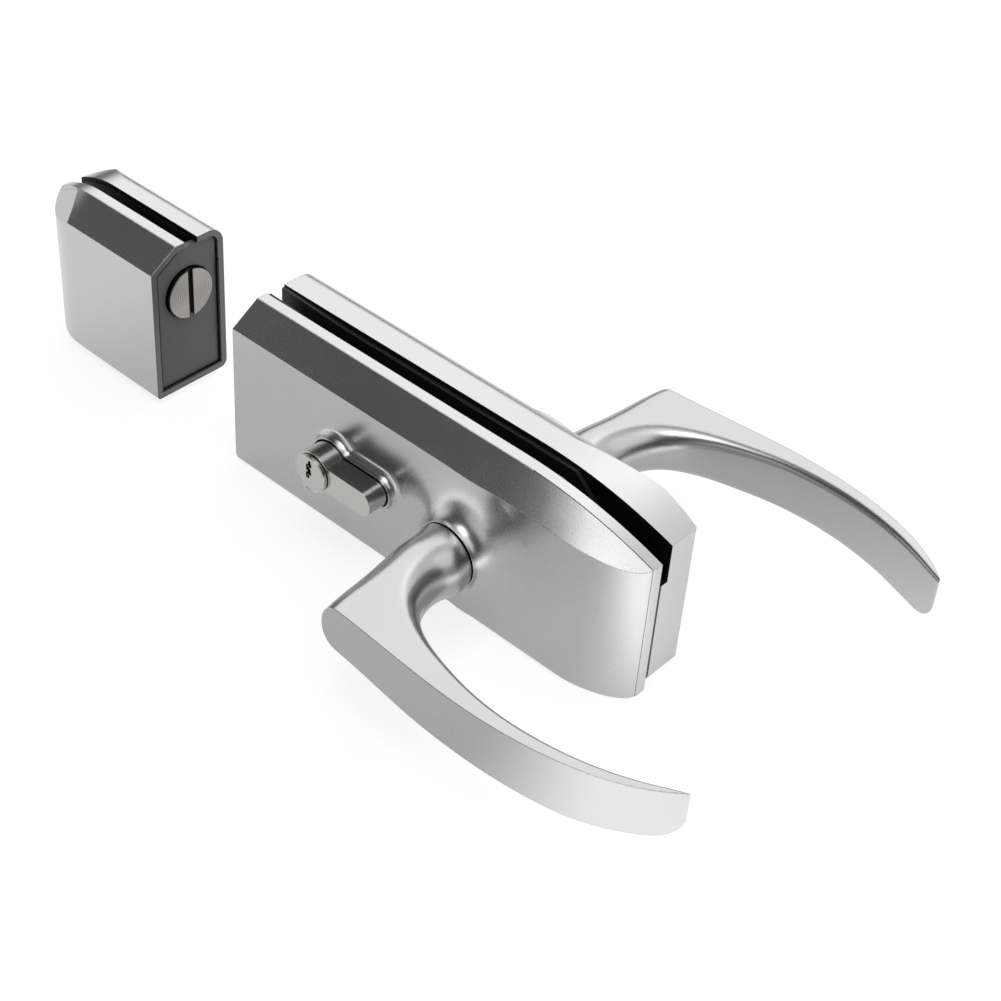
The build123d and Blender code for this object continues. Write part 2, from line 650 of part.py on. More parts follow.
def follower():
    """Follower on the spindle, with the arm that moves the latch link."""
    tip_z = AXIS_Z + ARM_REACH
    body = rod_y(0, AXIS_Z, FOLLOWER_RADIUS, BAR_FRONT, FOLLOWER_BACK)
    body = body + block(-ARM_HALF, ARM_HALF, BAR_FRONT, BAR_BACK, AXIS_Z, tip_z)
    body = body + rod_y(0, tip_z, ARM_TIP, BAR_FRONT, BAR_BACK)
    return body - square_y(SPINDLE_SIDE + RUNNING, BAR_FRONT - 1, FOLLOWER_BACK + 1)


def return_spring():
    """Hairpin return spring: one turn round the follower and two upright legs."""
    radius = FOLLOWER_RADIUS + SPRING_WIRE + SPRING_GAP
    plane = Plane(origin=(0, SPRING_Y, AXIS_Z), x_dir=(1, 0, 0), z_dir=(0, -1, 0))
    turn = CenterArc((0, 0), radius, 60, -300)
    path = Line((turn @ 0) + (0, SPRING_LEG), turn @ 0) + turn + Line(turn @ 1, (turn @ 1) + (0, SPRING_LEG))
    wire = plane * path
    start = Plane(origin=wire @ 0, z_dir=wire % 0)
    return sweep(start * Circle(SPRING_WIRE), path=wire)


def bush():
    """Plain bush in the front hub; the lever's journal turns in it."""
    front = -HALF - HUB_LENGTH + BUSH_INSET
    ring = rod_y(0, AXIS_Z, BUSH_RADIUS, front, -HALF + WALL)
    return ring - rod_y(0, AXIS_Z, JOURNAL + RUNNING, front - 1, -HALF + WALL + 1)


# Levers


def lever_sections():
    """Sections of the lever from the neck to the tip.

    Each is (inner point, outer point, inner foot, outer foot, top, inner radius, outer radius), with heights
    from the spindle axis. The outer points lie beyond the flat outer face, which is cut afterwards.
    """
    return [
        ((NECK_RADIUS, NECK_Y), (-NECK_RADIUS, NECK_Y), -NECK_RADIUS, -NECK_RADIUS, NECK_RADIUS, 11.4, 11.4),
        ((11.5, -40.0), (-9.7, -41.0), -9.9, -9.9, 11.5, 10.4, 10.5),
        ((12.3, -48.6), (-7.8, -52.0), -8.9, -8.6, 11.5, 9.3, 9.9),
        ((15.0, -54.8), (-5.8, -64.0), -8.2, -7.0, 11.5, 8.2, 9.1),
        ((18.9, -59.6), (-3.0, -80.0), -7.6, -4.6, 11.5, 6.8, 7.9),
        ((24.0, -64.0), (4.0, -94.0), -7.2, -4.2, 11.6, 5.2, 7.7),
        ((30.8, -67.8), (16.0, -99.0), -7.0, -5.5, 11.7, 4.0, 8.0),
        ((39.5, -71.0), (30.0, -101.0), -7.0, -7.0, 11.9, 3.2, 8.0),
        ((52.3, -74.2), (47.5, -102.0), -7.0, -7.0, 12.2, 2.6, 8.0),
        ((67.8, -75.5), (67.5, -102.0), -7.0, -7.0, 12.5, 2.4, 8.0),
        ((83.8, -74.4), (88.0, -101.0), -7.0, -7.0, 12.9, 2.2, 8.0),
        ((100.3, -70.8), (108.0, -96.0), -7.0, -7.0, 13.3, 1.9, 8.0),
        ((112.5, -66.2), (122.5, -90.0), -7.0, -7.0, 13.6, 1.6, 8.0),
        ((127.0, -60.0), (138.5, -83.0), -7.0, -7.0, 13.9, 1.2, 8.0),
    ]


def lever_section(inner, outer, inner_foot, outer_foot, top, inner_radius, outer_radius):
    """One upright section between an inner and an outer point of the plan."""
    start = Vector(inner[0], inner[1], AXIS_Z)
    reach = Vector(outer[0], outer[1], AXIS_Z) - start
    plane = Plane(origin=start, x_dir=reach, z_dir=reach.cross(Vector(0, 0, 1)))
    width = reach.length
    corners = [(0, inner_foot), (width, outer_foot), (width, top), (0, top)]
    radii = [inner_radius, outer_radius, outer_radius, inner_radius]
    return plane * make_face(FilletPolyline(*corners, radius=radii, close=True))


def outer_face_region():
    """Plan region inside the levers' flat outer face, closed far on the inner side."""
    face_line = Spline((-20.0, -79.8), (8.0, -79.6), (31.5, -81.2), (52.3, -82.2), (70.7, -81.5), (87.2, -79.1),
                       (101.7, -75.0), (111.9, -70.2), (LEVER_TIP, -62.3))
    back = Polyline(face_line @ 1, (LEVER_TIP, 0), (-20.0, 0), face_line @ 0)
    return make_face(face_line + back)


def tip_corner():
    """Side view of what is taken off below the tip."""
    low = -30.0
    curve = Spline((86.0, -7.4), (101.8, -6.3), (111.8, -5.2), (118.0, -4.0), (121.4, -1.4), (LEVER_TIP, 3.0))
    back = Polyline(curve @ 1, (LEVER_TIP + CUT, 3.0), (LEVER_TIP + CUT, low), (86.0, low), curve @ 0)
    return Pos(0, AXIS_Z) * make_face(curve + back)


def lever():
    """Front lever: round neck that bends into a flat, curved blade, with its journal and spindle socket."""
    body = loft([lever_section(*row) for row in lever_sections()])
    body = body & extrude(Pos(0, 0, AXIS_Z - 20) * outer_face_region(), 40)
    body = body - across(tip_corner(), -110, -20)
    body = body + rod_y(0, AXIS_Z, JOURNAL, NECK_Y - 1, -HALF + WALL - 0.4)
    body = body - square_y(SPINDLE_SIDE, -SPINDLE_END, 0)
    return body - rod_z(0, SET_SCREW_Y, GRUB + 0.5, AXIS_Z - 20, AXIS_Z)


def set_screw():
    """Grub screw under the neck that holds the lever on the spindle."""
    top = AXIS_Z - SPINDLE_SIDE / 2
    return rod_z(0, SET_SCREW_Y, GRUB + 0.5, top - SET_SCREW_LENGTH, top)


# Keeper


def keeper_side():
    """Side outline of the keeper: the top falls in an arc to its left end, the bottom rises to it."""
    sweep_angle = degrees(asin((KEEPER_CURVE - KEEPER_LEFT) / KEEPER_ARC_RADIUS))
    arc = CenterArc((KEEPER_CURVE, TOP - KEEPER_ARC_RADIUS), KEEPER_ARC_RADIUS, 90, sweep_angle)
    low_left = (KEEPER_LEFT, -KEEPER_BASE + KEEPER_RISE)
    corners = Polyline(arc @ 1, low_left, (KEEPER_RIGHT, -KEEPER_BASE), (KEEPER_RIGHT, TOP), arc @ 0)
    face = make_face(corners + arc)
    return fillet(face.vertices().sort_by(Axis.X)[:2].sort_by(Axis.Y)[0], KEEPER_CORNER)


def keeper_plan():
    """Plan of the keeper: square at the right, half an ellipse at the left."""
    middle = (KEEPER_BACK - HALF) / 2
    nose = EllipticalCenterArc((KEEPER_CURVE, middle), KEEPER_NOSE, KEEPER_BACK - middle, 90, arc_size=180)
    sides = Polyline(nose @ 1, (KEEPER_RIGHT, -HALF), (KEEPER_RIGHT, KEEPER_BACK), nose @ 0)
    return make_face(sides + nose)


def keeper_end_section():
    """Outline of the keeper's right end, with the bevel."""
    section = cross_section(KEEPER_BASE, KEEPER_BACK, KEEPER_BACK_ROUND)
    top = TOP + 1
    off = [(-LIP_Y, TOP), (-HALF, BEVEL_FOOT), (-HALF - 1, BEVEL_FOOT), (-HALF - 1, top), (-LIP_Y, top)]
    return section - make_face(Polyline(*off, close=True))


def keeper_part(y0, y1):
    """The slice of the keeper between two depths, with the slot and the recess for the end plate."""
    left, right = KEEPER_LEFT - 1, KEEPER_RIGHT + 1
    section = cross_section(KEEPER_BASE, KEEPER_BACK, KEEPER_BACK_ROUND)
    body = outer_form(keeper_plan(), section, keeper_side(), KEEPER_LEFT - CUT, KEEPER_RIGHT + CUT)
    body = body & block(left, right, y0, y1, -BASE - 1, TOP + 1)
    body = body - along(offset(keeper_end_section(), -WALL), PLATE_BACK, right)
    return body - block(left, right, -SLOT_HALF, KEEPER_SLOT_BACK, 0, TOP + 1)


def keeper_front_cover():
    """Front cover of the keeper, hollow behind its face."""
    body = keeper_part(-HALF - 1, -LIP_Y)
    body = body - bevel(KEEPER_RIGHT + 1, KEEPER_CURVE, KEEPER_LEFT - 1, keeper_lip, BEVEL_SLOPE, 1.0)
    left = KEEPER_CURVE - KEEPER_HOLLOW_LEFT
    front = -HALF + KEEPER_FACE_WALL
    low = -KEEPER_BASE + KEEPER_RISE + WALL
    body = body - block(left, PLATE_BACK - WALL, front, -LIP_Y, low, HOLLOW_TOP)
    return body - keeper_facet()


def keeper_front_plate():
    """Front jaw of the keeper."""
    body = keeper_part(-LIP_Y, -SLOT_HALF) - keeper_facet()
    for x, z in KEEPER_SCREWS:
        body = body - rod_y(x, z, SCREW, -LIP_Y - 1, 0)
    return body


def keeper_back_body():
    """Back half of the keeper with its glass seat."""
    body = keeper_part(-SLOT_HALF, KEEPER_BACK + 1)
    for x, z in KEEPER_SCREWS:
        body = body - rod_y(x, z, SCREW, -SLOT_HALF - 1, SCREW_DEPTH - KEEPER_SCREW_SHORTER)
    return body


def keeper_screws():
    """Screws that clamp the keeper's plate."""
    head = -LIP_Y - SCREW_HEAD_HEIGHT
    return [screw_y(x, z, head, SCREW_END - KEEPER_SCREW_SHORTER) for x, z in KEEPER_SCREWS]


def keeper_end_plate():
    """Plate let into the keeper's end, a little below its rim, with the seat of the disc."""
    face = offset(keeper_end_section(), -WALL - END_GROOVE)
    plate = along(face, PLATE_BACK, PLATE_BACK + END_PLATE)
    plate = plate - rod_x(DISC_Y, DISC_Z, DISC_RADIUS + DISC_GAP, PLATE_BACK + DISC_SEAT, KEEPER_RIGHT)
    return plate - rod_x(DISC_Y, DISC_Z, DISC_SHANK, PLATE_BACK - 1, KEEPER_RIGHT)


def keeper_disc():
    """Slotted strike disc on a short shank."""
    front = PLATE_BACK + END_PLATE + DISC_PROUD
    body = rod_x(DISC_Y, DISC_Z, DISC_RADIUS, PLATE_BACK + DISC_SEAT, front)
    body = body + rod_x(DISC_Y, DISC_Z, DISC_SHANK, PLATE_BACK, PLATE_BACK + DISC_SEAT)
    half = DISC_SLOT / 2
    reach = DISC_RADIUS + 1
    slot_floor = front - DISC_SLOT_DEPTH
    return body - block(slot_floor, front + 1, DISC_Y - half, DISC_Y + half, DISC_Z - reach, DISC_Z + reach)


# Gaskets


def lock_gasket():
    """Thin liner on the front jaw: its top edge dips below the lip and its right end slants down."""
    left = LEFT + GASKET_EDGE
    high = TOP - GASKET_MARGIN
    top = [(left, GASKET_LOW), (left, TOP - GASKET_EDGE), (LEFT + GASKET_DIP, high), (GASKET_END, high)]
    outline = Polyline(*top, (GASKET_END + GASKET_SLANT, GASKET_LOW), close=True)
    return across(make_face(outline), -SLOT_HALF, -SLOT_HALF + GASKET)


def keeper_gasket(y):
    """Thin liner on one of the keeper's jaws, short of the lip, from y backwards."""
    strip = block(KEEPER_LEFT + CORNER, PLATE_BACK - GASKET_EDGE, y, y + KEEPER_GASKET, GASKET_LOW, TOP)
    return strip & (Pos(0, 0, -GASKET_MARGIN) * across(keeper_side(), -HALF, HALF))


def write(name, shape):
    """Write one sub-part."""
    if isinstance(shape, list):
        shape = Compound(children=[s if isinstance(s, Solid) else s.solids()[0] for s in shape])
    export_step(shape, f"parts/{name}.step")


def main():
    os.makedirs("parts", exist_ok=True)
    pairs = {"bush": bush, "gasket": lock_gasket, "lever": lever, "plug": plug, "set_screw": set_screw}
    for name, make in pairs.items():
        shape = make()
        write(f"{name}_front", shape)
        write(f"{name}_back", mirrored(shape))
    for make in (cover_screws, plate_screws, lock_case, case_lid, case_screws, return_spring, cylinder_body,
                 cylinder_screw, cylinder_cam, dead_bolt, latch_bolt, latch_link, spindle, follower,
                 keeper_front_cover, keeper_front_plate, keeper_back_body, keeper_screws, keeper_end_plate,
                 keeper_disc):
        write(make.__name__, make())
    write("front_cover", lock_front_cover())
    write("front_plate", lock_front_plate())
    write("back_body", lock_back_body())
    write("keeper_front_gasket", keeper_gasket(-SLOT_HALF))
    write("keeper_back_gasket", keeper_gasket(KEEPER_SLOT_BACK - KEEPER_GASKET))


main()
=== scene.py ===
import json
import math

import bpy
from mathutils import Matrix, Vector


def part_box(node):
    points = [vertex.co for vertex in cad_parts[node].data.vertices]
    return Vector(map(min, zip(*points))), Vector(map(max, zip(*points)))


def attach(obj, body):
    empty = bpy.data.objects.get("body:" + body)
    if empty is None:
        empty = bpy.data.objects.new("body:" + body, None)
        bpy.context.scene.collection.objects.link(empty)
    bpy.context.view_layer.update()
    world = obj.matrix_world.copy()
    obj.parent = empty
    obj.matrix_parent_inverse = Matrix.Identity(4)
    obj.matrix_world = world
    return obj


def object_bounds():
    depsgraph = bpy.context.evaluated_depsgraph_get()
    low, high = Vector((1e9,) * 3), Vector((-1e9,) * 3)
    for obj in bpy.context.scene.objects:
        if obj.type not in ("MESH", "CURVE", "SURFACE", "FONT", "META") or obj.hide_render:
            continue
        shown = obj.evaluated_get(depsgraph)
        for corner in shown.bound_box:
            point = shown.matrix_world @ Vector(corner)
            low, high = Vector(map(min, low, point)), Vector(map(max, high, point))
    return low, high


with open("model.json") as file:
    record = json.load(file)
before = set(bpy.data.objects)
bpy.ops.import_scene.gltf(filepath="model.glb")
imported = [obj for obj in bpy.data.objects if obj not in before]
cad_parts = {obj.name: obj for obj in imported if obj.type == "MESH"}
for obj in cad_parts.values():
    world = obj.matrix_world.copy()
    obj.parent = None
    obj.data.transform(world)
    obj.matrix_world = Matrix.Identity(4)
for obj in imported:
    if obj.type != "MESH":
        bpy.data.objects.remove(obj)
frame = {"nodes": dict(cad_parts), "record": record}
cad_low, cad_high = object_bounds()

# A satin steel lever lock for a glass door, with its keeper, in a white studio. The scene is in
# metres, +Z up; sizes of small pieces, edges and seams are given in millimetres.

MM = 0.001
nodes_of = frame["nodes"]

# The camera: where it stands, which way it looks and how far it is rolled, as in the photograph
CAMERA_PLACE = Vector((0.31169, -0.38175, 0.40943))
CAMERA_AZIMUTH = 39.5
CAMERA_ELEVATION = 39.97
CAMERA_ROLL = 4.66
CAMERA_LENS = 71.96
CAMERA_SENSOR = 36.0
CAMERA_NEAR = 0.01
CAMERA_FAR = 20.0


def direction(azimuth, elevation):
    """Unit vector from the object; azimuth 0 is the front (-Y), 90 is +X, elevation is above the floor."""
    a = math.radians(azimuth)
    e = math.radians(elevation)
    return Vector((math.sin(a) * math.cos(e), -math.cos(a) * math.cos(e), math.sin(e)))


def make_camera():
    """The camera at the photograph's viewing angle."""
    back = direction(CAMERA_AZIMUTH, CAMERA_ELEVATION)
    side = direction(CAMERA_AZIMUTH + 90, 0)
    up = back.cross(side)
    roll = math.radians(CAMERA_ROLL)
    right = math.cos(roll) * side + math.sin(roll) * up
    top = math.cos(roll) * up - math.sin(roll) * side
    data = bpy.data.cameras.new("camera")
    data.lens = CAMERA_LENS
    data.sensor_width = CAMERA_SENSOR
    data.clip_start = CAMERA_NEAR
    data.clip_end = CAMERA_FAR
    camera = bpy.data.objects.new("camera", data)
    turn = Matrix((right, top, back)).transposed().to_4x4()
    camera.matrix_world = Matrix.Translation(CAMERA_PLACE) @ turn
    bpy.context.scene.collection.objects.link(camera)
    bpy.context.scene.camera = camera


# Helpers for node trees

# A mix node's first input, second input and output, for colours and for plain values
MIX_SOCKETS = {"RGBA": (6, 7, 2), "FLOAT": (2, 3, 0)}


def grey(shade):
    """A grey colour for a node's socket."""
    return (shade, shade, shade, 1)


class Tree:
    """A node tree with short calls for adding and joining nodes."""

    def __init__(self, tree, clear=True):
        self.tree = tree
        if clear:
            tree.nodes.clear()

    def add(self, kind, **settings):
        """A new node with its settings."""
        node = self.tree.nodes.new(kind)
        for name, value in settings.items():
            setattr(node, name, value)
        return node

    def find(self, kind):
        """The tree's first node of a kind."""
        return next(node for node in self.tree.nodes if node.type == kind)

    def join(self, out, into):
        self.tree.links.new(out, into)

    def put(self, socket, value):
        """Sets a socket to a constant, or joins it to another node's output."""
        if isinstance(value, bpy.types.NodeSocket):
            self.join(value, socket)
        else:
            socket.default_value = value

    def math(self, operation, a, b=0.0):
        node = self.add("ShaderNodeMath", operation=operation)
        self.put(node.inputs[0], a)
        self.put(node.inputs[1], b)
        return node.outputs[0]

    def vector_math(self, operation, *values):
        """A vector, or a plain value where the operation is a length or a dot product."""
        node = self.add("ShaderNodeVectorMath", operation=operation)
        for socket, value in zip(node.inputs, values):
            self.put(socket, value)
        return node.outputs["Value" if operation in ("LENGTH", "DOT_PRODUCT") else "Vector"]

    def between(self, value, low, high, to_low, to_high):
        """A smooth step from one value to another, while the input goes from low to high."""
        node = self.add("ShaderNodeMapRange", interpolation_type="SMOOTHSTEP")
        for socket, item in zip(node.inputs, (value, low, high, to_low, to_high)):
            self.put(socket, item)
        return node.outputs[0]

    def blend(self, amount, first, second, kind="RGBA"):
        """The first colour or value at amount 0, and the second at amount 1."""
        node = self.add("ShaderNodeMix", data_type=kind)
        into_first, into_second, out = MIX_SOCKETS[kind]
        self.put(node.inputs[0], amount)
        self.put(node.inputs[into_first], first)
        self.put(node.inputs[into_second], second)
        return node.outputs[out]

    def cover(self, socket, amount, value, kind="RGBA"):
        """Blends what a socket is joined to over to a constant."""
        self.join(self.blend(amount, socket.links[0].from_socket, value, kind), socket)

    def noise(self, vector, scale, detail=2.0, roughness=0.5):
        node = self.add("ShaderNodeTexNoise")
        self.join(vector, node.inputs["Vector"])
        node.inputs["Scale"].default_value = scale
        node.inputs["Detail"].default_value = detail
        node.inputs["Roughness"].default_value = roughness
        return node.outputs[0]

    def place(self):
        """The object's own coordinates."""
        return self.add("ShaderNodeTexCoord").outputs["Object"]

    def split(self, vector):
        """The X, Y and Z of a vector, by name."""
        node = self.add("ShaderNodeSeparateXYZ")
        self.join(vector, node.inputs[0])
        return node.outputs


def new_material(name):
    """A material and its empty node tree."""
    material = bpy.data.materials.new(name)
    material.use_nodes = True
    return material, Tree(material.node_tree)


# Studio

# Soft lights round the object: (azimuth, elevation, inner angle, outer angle, strength)
SOFT_LIGHTS = [
    (220.0, 38.0, 16.0, 32.0, 1.9),
    (168.0, 44.0, 8.0, 32.0, 1.1),
    (180.0, 6.0, 8.0, 34.0, 1.4),
    (132.0, 10.0, 6.0, 34.0, 0.9),
    (285.0, 2.0, 8.0, 38.0, 1.2),
    (102.0, 48.0, 8.0, 36.0, 1.5),
    (2.0, 6.0, 6.0, 34.0, 1.0),
    (60.0, 86.0, 5.0, 28.0, 1.4),
]
SURROUNDINGS = 0.12


def glow(tree, ray, toward, inner, outer, strength):
    """A soft round light in the surroundings, from full at the inner angle to nothing at the outer one."""
    closeness = tree.vector_math("DOT_PRODUCT", ray, toward)
    low = math.cos(math.radians(outer))
    high = math.cos(math.radians(inner))
    return tree.between(closeness, low, high, 0.0, strength)


def make_world():
    """A dim studio with soft lights; the camera itself sees plain white."""
    world = bpy.data.worlds.new("studio")
    bpy.context.scene.world = world
    world.use_nodes = True
    tree = Tree(world.node_tree)
    ray = tree.add("ShaderNodeTexCoord").outputs["Generated"]
    total = SURROUNDINGS
    for azimuth, elevation, inner, outer, strength in SOFT_LIGHTS:
        light = glow(tree, ray, direction(azimuth, elevation), inner, outer, strength)
        total = tree.math("ADD", light, total)
    studio = tree.add("ShaderNodeBackground")
    tree.join(total, studio.inputs["Strength"])
    white = tree.add("ShaderNodeBackground")
    white.inputs["Color"].default_value = grey(1)
    mix = tree.add("ShaderNodeMixShader")
    tree.join(tree.add("ShaderNodeLightPath").outputs["Is Camera Ray"], mix.inputs[0])
    tree.join(studio.outputs[0], mix.inputs[1])
    tree.join(white.outputs[0], mix.inputs[2])
    tree.join(mix.outputs[0], tree.add("ShaderNodeOutputWorld").inputs[0])


FLOOR_SIZE = 6.0
FLOOR_DROP = 0.0005
FLOOR_COLOUR = 0.30
# How bright the floor is to the eye
FLOOR_GLOW = 0.80
# How bright the metal mirrors it: left of the lock, under it, and right of it in front and behind
FLOOR_LEFT = 0.80
FLOOR_MIDDLE = 0.58
FLOOR_RIGHT = 1.55
FLOOR_BEHIND = 0.95
# The same well ahead of the lock, and the share that is left far out to the right
FLOOR_AHEAD = 1.2
FLOOR_FAR_RIGHT = 0.30
# Where one brightness fades into the next: across the floor (X) and along it (Y)
LEFT_FADE = (-0.24, -0.14)
RIGHT_FADE = (0.04, 0.11)
FAR_RIGHT_FADE = (0.13, 0.28)
BEHIND_FADE = (-0.03, 0.06)
AHEAD_FADE = (-0.28, -0.16)


def mirrored_floor(tree):
    """How bright the metal mirrors each place of the floor."""
    place = tree.split(tree.add("ShaderNodeNewGeometry").outputs["Position"])
    across = place["X"]
    along = place["Y"]
    left = tree.between(across, *LEFT_FADE, FLOOR_LEFT - FLOOR_MIDDLE, 0.0)
    beside = tree.between(along, *BEHIND_FADE, FLOOR_RIGHT, FLOOR_BEHIND)
    right = tree.between(across, *RIGHT_FADE, FLOOR_MIDDLE, beside)
    ahead = tree.between(along, *AHEAD_FADE, FLOOR_AHEAD - FLOOR_MIDDLE, 0.0)
    total = tree.math("ADD", tree.math("ADD", left, right), ahead)
    return tree.math("MULTIPLY", total, tree.between(across, *FAR_RIGHT_FADE, 1.0, FLOOR_FAR_RIGHT))


def floor_material():
    """White to the eye, shaded to the metal that mirrors it, and matt enough to keep the soft shadow."""
    material, tree = new_material("white_floor")
    diffuse = tree.add("ShaderNodeBsdfDiffuse")
    diffuse.inputs["Color"].default_value = grey(FLOOR_COLOUR)
    light = tree.add("ShaderNodeEmission")
    paths = tree.add("ShaderNodeLightPath")
    mirrored = tree.math("MULTIPLY", paths.outputs["Is Glossy Ray"], mirrored_floor(tree))
    seen = tree.math("MAXIMUM", paths.outputs["Is Camera Ray"], paths.outputs["Is Transmission Ray"])
    seen = tree.math("MULTIPLY", seen, FLOOR_GLOW)
    tree.join(tree.math("ADD", seen, mirrored), light.inputs["Strength"])
    both = tree.add("ShaderNodeAddShader")
    tree.join(diffuse.outputs[0], both.inputs[0])
    tree.join(light.outputs[0], both.inputs[1])
    tree.join(both.outputs[0], tree.add("ShaderNodeOutputMaterial").inputs[0])
    return material


def make_floor():
    """A wide white floor just under the lock."""
    half = FLOOR_SIZE / 2
    mesh = bpy.data.meshes.new("floor")
    corners = [(-half, -half, 0), (half, -half, 0), (half, half, 0), (-half, half, 0)]
    mesh.from_pydata(corners, [], [(0, 1, 2, 3)])
    mesh.materials.append(floor_material())
    floor = bpy.data.objects.new("floor", mesh)
    floor.location.z = cad_low.z - FLOOR_DROP
    bpy.context.scene.collection.objects.link(floor)


# The key lamp: its direction as (azimuth, elevation), distance, size and power
KEY_TOWARD = (20, 70)
KEY_DISTANCE = 1.2
KEY_SIZE = 0.7
KEY_POWER = 3.0


def make_key_lamp():
    """One large soft lamp, high over the front."""
    data = bpy.data.lights.new("key", "AREA")
    data.shape = "DISK"
    data.size = KEY_SIZE
    data.energy = KEY_POWER
    lamp = bpy.data.objects.new("key", data)
    place = direction(*KEY_TOWARD) * KEY_DISTANCE
    lamp.location = place
    lamp.rotation_euler = (-place).to_track_quat("-Z", "Y").to_euler()
    bpy.context.scene.collection.objects.link(lamp)


# Materials

SATIN = (0.52, 0.52, 0.525)

# Each metal: its colour, its roughness, its grain as a share of the colour, and how wide its edges
# are broken, in millimetres
METALS = {
    "satin_cover": (SATIN, 0.26, 0.09, 0.35),
    "lever_satin": ((0.46, 0.46, 0.465), 0.25, 0.06, 0.6),
    "cylinder_nickel": ((0.56, 0.555, 0.54), 0.18, 0.04, 0.25),
    "disc_nickel": ((0.42, 0.405, 0.38), 0.28, 0.10, 0.25),
    "case_steel": ((0.5, 0.5, 0.5), 0.32, 0.06, 0.25),
    "screw_steel": ((0.3, 0.3, 0.3), 0.35, 0.06, 0.25),
}
# The same for the copies of the satin metal that get painted shade in places
LOCK_SATIN = (SATIN, 0.26, 0.09, 0.35)
KEEPER_SATIN = (SATIN, 0.26, 0.09, 0.4)
# Each paint, rubber or plastic: its colour and roughness
PLAIN_ONES = {
    "end_plate_grey": ((0.14, 0.14, 0.145), 0.42),
    "liner_rubber": ((0.012, 0.012, 0.013), 0.5),
    "bush_plastic": ((0.03, 0.03, 0.03), 0.4),
}

# Grain: its fineness per metre, and the stretch of the noise that is used
METAL_FINENESS = 2600.0
PLAIN_FINENESS = 1500.0
BROAD_FINENESS = 25.0
FINE_DETAIL = 3.0
FINE_ROUGHNESS = 0.6
NOISE_RANGE = (0.3, 0.7)
# How far the roughness varies: broadly as a share of itself, and finely
BROAD_SHARE = 0.07
FINE_SPREAD = 0.02
PLAIN_SHARE = 0.1
# How far the colour of the plain materials varies
PLAIN_MOTTLE = 0.2
# The grain's bump: its strength and its height in millimetres
METAL_BUMP = (0.12, 0.04)
PLAIN_BUMP = (0.2, 0.05)
BEVEL_SAMPLES = 6


def mottle(tree, shader, fine, colour, share):
    """The fine grain makes the colour darker and lighter by a share."""
    dark = (*[c * (1 - share) for c in colour], 1)
    light = (*[c * (1 + share) for c in colour], 1)
    tree.join(tree.blend(fine, dark, light), shader.inputs["Base Color"])


def grain_bump(tree, shader, fine, strength, height):
    """The fine grain lifts the surface by a height in millimetres."""
    bump = tree.add("ShaderNodeBump")
    bump.inputs["Strength"].default_value = strength
    bump.inputs["Distance"].default_value = height * MM
    tree.join(fine, bump.inputs["Height"])
    tree.join(bump.outputs[0], shader.inputs["Normal"])
    return bump


def metal(name, colour, roughness, grain, edge):
    """Satin metal with fine grain in its colour, roughness and surface, and softly broken edges."""
    material, tree = new_material(name)
    shader = tree.add("ShaderNodeBsdfPrincipled")
    shader.inputs["Metallic"].default_value = 1.0
    place = tree.place()
    fine = tree.noise(place, METAL_FINENESS, FINE_DETAIL, FINE_ROUGHNESS)
    broad = tree.noise(place, BROAD_FINENESS)
    mottle(tree, shader, fine, colour, grain)
    smoother = roughness * (1 - BROAD_SHARE)
    rougher = roughness * (1 + BROAD_SHARE)
    broadly = tree.between(broad, *NOISE_RANGE, smoother, rougher)
    finely = tree.between(fine, *NOISE_RANGE, -FINE_SPREAD, FINE_SPREAD)
    tree.join(tree.math("ADD", broadly, finely), shader.inputs["Roughness"])
    bump = grain_bump(tree, shader, fine, *METAL_BUMP)
    round_edges = tree.add("ShaderNodeBevel", samples=BEVEL_SAMPLES)
    round_edges.inputs["Radius"].default_value = edge * MM
    tree.join(round_edges.outputs[0], bump.inputs["Normal"])
    tree.join(shader.outputs[0], tree.add("ShaderNodeOutputMaterial").inputs[0])
    return material


def plain(name, colour, roughness):
    """Rubber, plastic or paint with a faint mottle."""
    material, tree = new_material(name)
    shader = tree.add("ShaderNodeBsdfPrincipled")
    fine = tree.noise(tree.place(), PLAIN_FINENESS, FINE_DETAIL, FINE_ROUGHNESS)
    mottle(tree, shader, fine, colour, PLAIN_MOTTLE)
    smoother = roughness * (1 - PLAIN_SHARE)
    rougher = roughness * (1 + PLAIN_SHARE)
    tree.join(tree.between(fine, *NOISE_RANGE, smoother, rougher), shader.inputs["Roughness"])
    grain_bump(tree, shader, fine, *PLAIN_BUMP)
    tree.join(shader.outputs[0], tree.add("ShaderNodeOutputMaterial").inputs[0])
    return material


# The disc's turned rings: their spacing in millimetres, and their height and strength in the bump
RING_SPACING = 0.9
RING_HEIGHT = 2.0
RING_STRENGTH = 0.5
# How far under its face the disc gets painted shade, in millimetres, and how dark that painted shade is
DISC_FACE = 0.4
DISC_PAINTED_SHADE = 0.04
# Painted shade on the keeper's end: it turns dark as its surface points more along X, between these two
# shares
END_FACING = (0.80, 0.97)
END_PAINTED_SHADE = 0.16
# The glass slots get nearly black painted shade between these places along Y, above the slot's floor, in
# millimetres
LOCK_SLOT = (-4.0, 4.0)
KEEPER_SLOT = (-4.0, 1.6)
SLOT_MARGIN = 0.02
SLOT_PAINTED_SHADE = 0.03
SLOT_ROUGHNESS = 0.6


def turned_rings(material, centre):
    """Adds fine turned rings about an axis along X to a metal's bump."""
    tree = Tree(material.node_tree, clear=False)
    offset = tree.vector_math("SUBTRACT", tree.place(), centre)
    radius = tree.vector_math("LENGTH", tree.vector_math("MULTIPLY", offset, (0, 1, 1)))
    wave = tree.math("SINE", tree.math("MULTIPLY", radius, 2 * math.pi / (RING_SPACING * MM)))
    bump = tree.find("BUMP")
    grain = bump.inputs["Height"].links[0].from_socket
    tree.join(tree.math("ADD", grain, tree.math("MULTIPLY", wave, RING_HEIGHT)), bump.inputs["Height"])
    bump.inputs["Strength"].default_value = RING_STRENGTH


